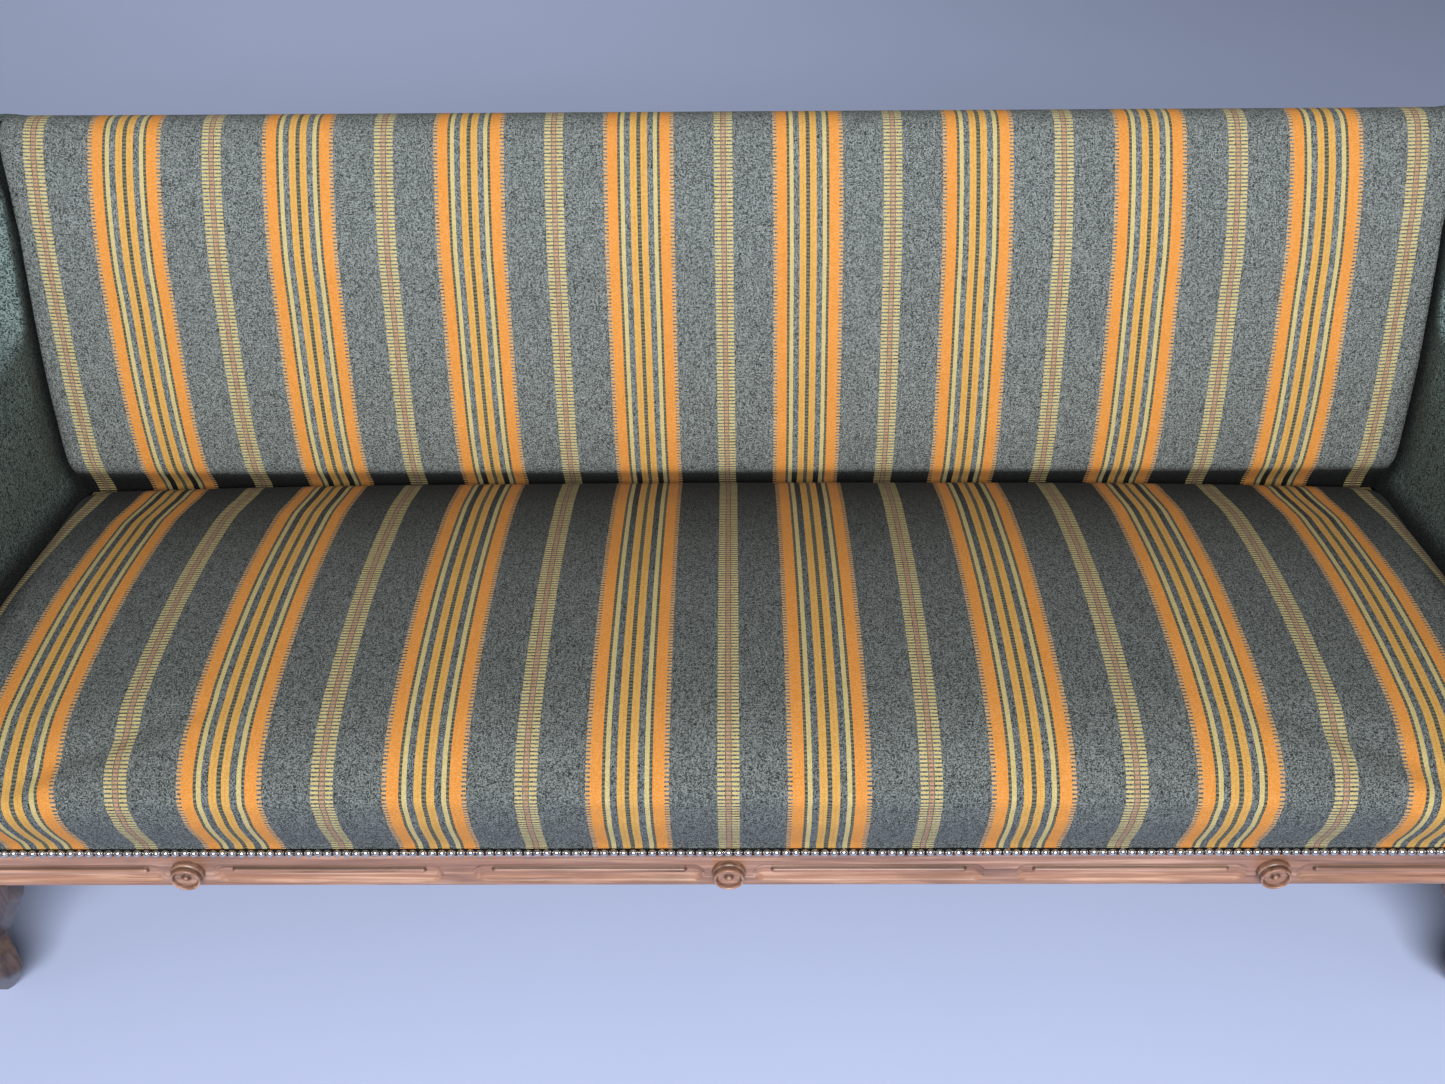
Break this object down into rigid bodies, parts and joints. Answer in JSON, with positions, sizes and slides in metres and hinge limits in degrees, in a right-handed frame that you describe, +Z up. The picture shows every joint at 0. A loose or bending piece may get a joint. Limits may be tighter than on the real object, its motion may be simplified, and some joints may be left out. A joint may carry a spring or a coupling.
{
  "type": "three-seater sofa",
  "caption": "Fixed-upholstered sofa with a crowned striped seat and back, plain winged arms with boxed edges, a nailed front edge and a carved front rail on bracket legs.",
  "frame": {"origin": "on the floor under the middle of the sofa", "axes": "+X to the right as seen from the front, -Y out of the front, +Z up"},
  "size_m": [2, 0.84, 0.8576],
  "materials": {
    "show_wood": "waxed walnut brown, satin",
    "frame_wood": "plain beech",
    "striped_fabric": "ribbed woven stripe, orange, gold and grey green",
    "green_fabric": "plain grey-green weave",
    "nickel": "nickel-plated, softly worn",
    "spring_steel": "drawn wire",
    "webbing": "jute strap",
    "hessian": "open jute weave",
    "stuffing": "hair and cotton felt",
    "dust_cloth": "black lining cloth"
  },
  "bodies": {
    "root": {"front_rail": "show_wood", "rosette_left": "show_wood", "rosette_centre": "show_wood", "rosette_right": "show_wood", "left_front_leg": "show_wood", "right_front_leg": "show_wood", "front_nail_strip": "nickel", "left_rear_post": "frame_wood", "right_rear_post": "frame_wood", "rear_seat_rail": "frame_wood", "left_side_rail": "frame_wood", "right_side_rail": "frame_wood", "left_front_corner_block": "frame_wood", "right_front_corner_block": "frame_wood", "left_rear_corner_block": "frame_wood", "right_rear_corner_block": "frame_wood", "lower_back_rail": "frame_wood", "top_back_rail": "frame_wood", "left_back_muntin": "frame_wood", "right_back_muntin": "frame_wood", "left_arm_post": "frame_wood", "right_arm_post": "frame_wood", "left_arm_rail": "frame_wood", "right_arm_rail": "frame_wood", "left_wing_board": "frame_wood", "right_wing_board": "frame_wood", "seat_webbing": "webbing", "back_webbing": "webbing", "left_outer_spring_row": "spring_steel", "left_inner_spring_row": "spring_steel", "centre_spring_row": "spring_steel", "right_inner_spring_row": "spring_steel", "right_outer_spring_row": "spring_steel", "seat_hessian": "hessian", "back_hessian": "hessian", "seat_stuffing": "stuffing", "back_stuffing": "stuffing", "left_arm_stuffing": "stuffing", "right_arm_stuffing": "stuffing", "seat_cover": "striped_fabric", "back_cover": "striped_fabric", "left_inside_arm_cover": "green_fabric", "right_inside_arm_cover": "green_fabric", "left_arm_boxing": "green_fabric", "right_arm_boxing": "green_fabric", "left_outside_arm_cover": "green_fabric", "right_outside_arm_cover": "green_fabric", "outside_back_cover": "green_fabric", "dust_cover": "dust_cloth"}
  },
  "joints": []
}
